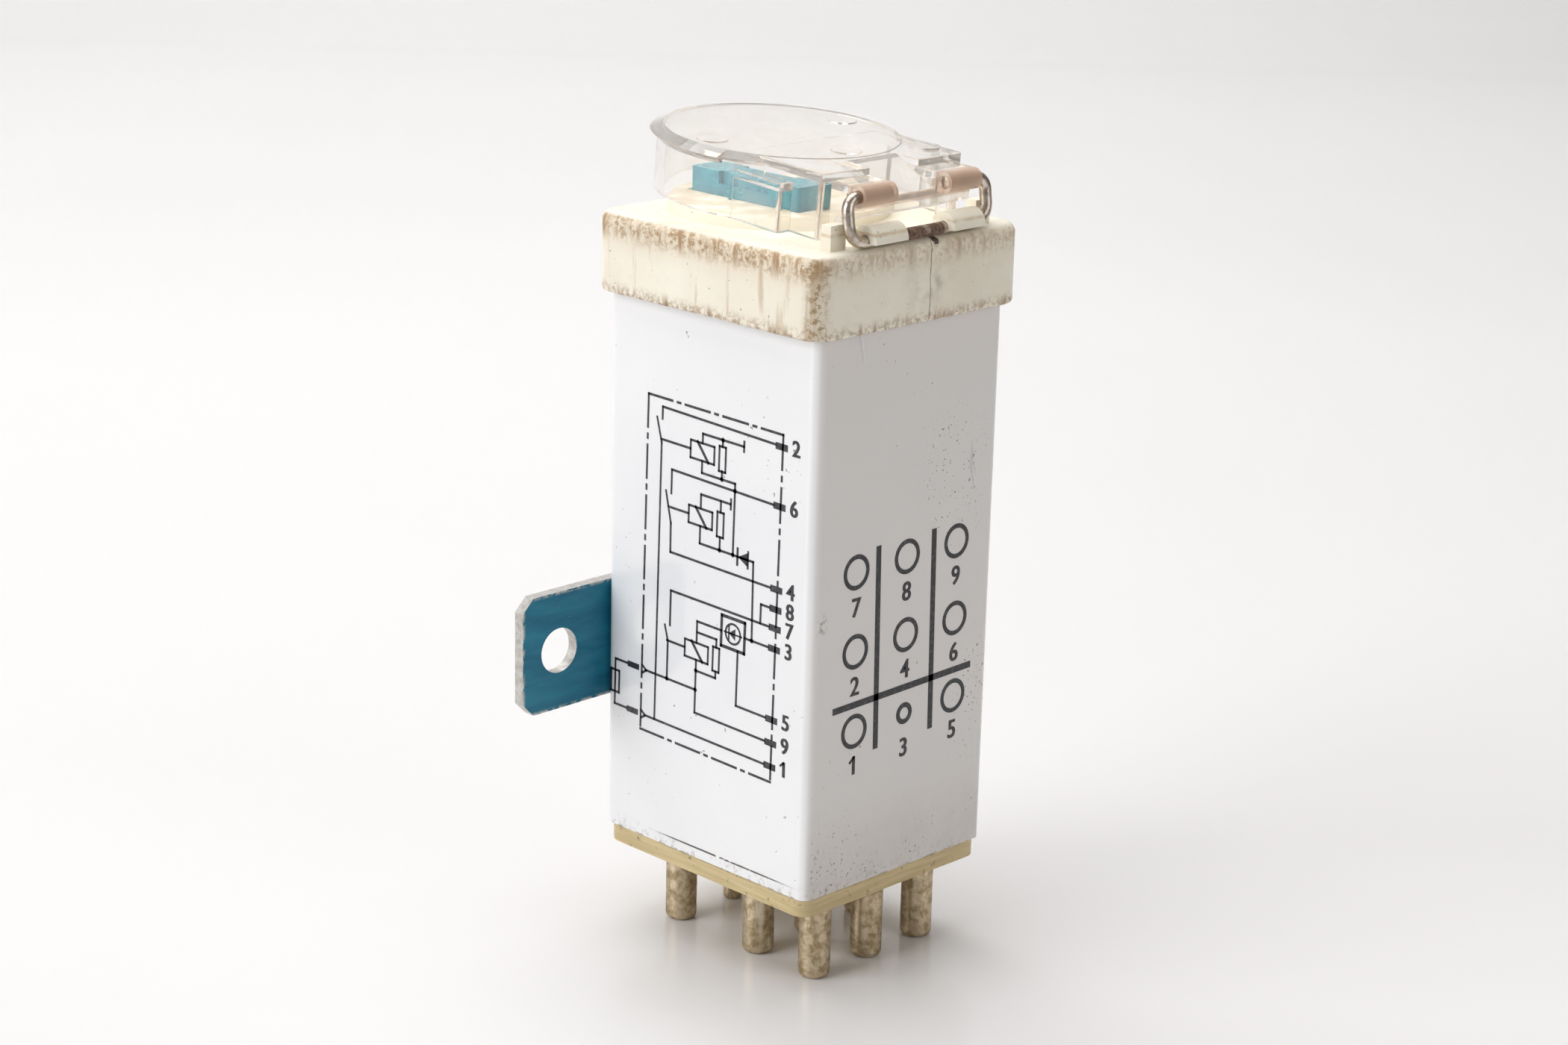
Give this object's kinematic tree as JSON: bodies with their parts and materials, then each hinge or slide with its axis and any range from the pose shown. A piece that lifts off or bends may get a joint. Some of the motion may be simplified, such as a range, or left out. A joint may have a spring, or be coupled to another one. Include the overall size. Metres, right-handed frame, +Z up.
{
  "type": "plug-in relay",
  "caption": "Tall plug-in protection relay: white metal can, ivory cap with a blade fuse under a clear flip-up lid on a wire bail, round contact pins below, side fixing ear.",
  "frame": {"origin": "centre of the base plate's flat underside, in the plane the relay seats on; pins hang below it", "axes": "+Z up out of the carrier along the can, +X towards the wire bail, -Y the way the fixing ear points"},
  "size_m": [0.0409, 0.0476, 0.1034],
  "materials": {
    "epoxy_board": "satin",
    "white_plastic": "matte",
    "board": "satin",
    "brass": "satin",
    "solder": "bright",
    "white_lacquer": "gloss",
    "bracket_metal": "bare edges, blue lacquer on one face",
    "steel": "satin",
    "ivory_plastic": "satin, aged",
    "clear_plastic": "clear, slightly hazed",
    "wire_steel": "dull, partly rusted",
    "fuse_plastic": "translucent",
    "fuse_metal": "satin",
    "clip_bronze": "satin",
    "black_plastic": "matte",
    "capacitor_plastic": "gloss",
    "wire_insulation": "satin",
    "pin_metal": "tarnished",
    "iron": "plated",
    "copper": "enamelled wire",
    "resistor_film": "gloss"
  },
  "bodies": {
    "case": {"base_frame": "white_plastic", "base_plate": "epoxy_board", "base_rivets": "brass", "bobbin_k1": "white_plastic", "bobbin_k2": "white_plastic", "bobbin_k3": "white_plastic", "bracket": "bracket_metal", "bracket_rivets": "steel", "cap": "ivory_plastic", "capacitor": "capacitor_plastic", "coil_k1": "copper", "coil_k2": "copper", "coil_k3": "copper", "contact_pin_1": "pin_metal", "contact_pin_2": "pin_metal", "contact_pin_3": "pin_metal", "contact_pin_4": "pin_metal", "contact_pin_5": "pin_metal", "contact_pin_6": "pin_metal", "contact_pin_7": "pin_metal", "contact_pin_8": "pin_metal", "contact_pin_9": "pin_metal", "core_k1": "iron", "core_k2": "iron", "core_k3": "iron", "diode": "black_plastic", "feed_wire": "wire_insulation", "fixed_contact_k1": "clip_bronze", "fixed_contact_k2": "clip_bronze", "fixed_contact_k3": "clip_bronze", "fuse_board": "board", "fuse_clip_left": "clip_bronze", "fuse_clip_right": "clip_bronze", "load_wire": "wire_insulation", "main_board": "board", "metal_can": "white_lacquer", "pin_board": "board", "relay_base_k1": "black_plastic", "relay_base_k2": "black_plastic", "relay_base_k3": "black_plastic", "resistor_k1": "resistor_film", "resistor_k2": "resistor_film", "resistor_k3": "resistor_film", "solder_joints": "solder", "surge_limiter": "black_plastic", "yoke_k1": "iron", "yoke_k2": "iron", "yoke_k3": "iron"},
    "bail": {"bail": "wire_steel"},
    "lid": {"lid": "clear_plastic"},
    "fuse": {"fuse_body": "fuse_plastic", "fuse_blades": "fuse_metal"},
    "armature_k1": {"armature_k1": "iron", "contact_spring_k1": "clip_bronze"},
    "armature_k2": {"armature_k2": "iron", "contact_spring_k2": "clip_bronze"},
    "armature_k3": {"armature_k3": "iron", "contact_spring_k3": "clip_bronze"}
  },
  "joints": [
    {"name": "bail_swing", "type": "hinge", "parent": "case", "child": "bail", "pos_m": [0.0182, 0, 0.08275], "axis": [0, 1, 0], "range_deg": [0, 60]},
    {"name": "lid_open", "type": "hinge", "parent": "bail", "child": "lid", "pos_m": [0.0175, 0, 0.0879], "axis": [0, 1, 0], "range_deg": [-4.5, 100]},
    {"name": "fuse_pull", "type": "slide", "parent": "case", "child": "fuse", "axis": [0, 0, 1], "range_m": [0, 0.0015]},
    {"name": "armature_k1_pull", "type": "hinge", "parent": "case", "child": "armature_k1", "pos_m": [0.0113, 0, 0.0454], "axis": [0, 1, 0], "range_deg": [0, 3]},
    {"name": "armature_k2_pull", "type": "hinge", "parent": "case", "child": "armature_k2", "pos_m": [0.0113, 0, 0.0259], "axis": [0, 1, 0], "range_deg": [0, 3]},
    {"name": "armature_k3_pull", "type": "hinge", "parent": "case", "child": "armature_k3", "pos_m": [0.0113, 0, 0.0649], "axis": [0, 1, 0], "range_deg": [0, 3]}
  ]
}
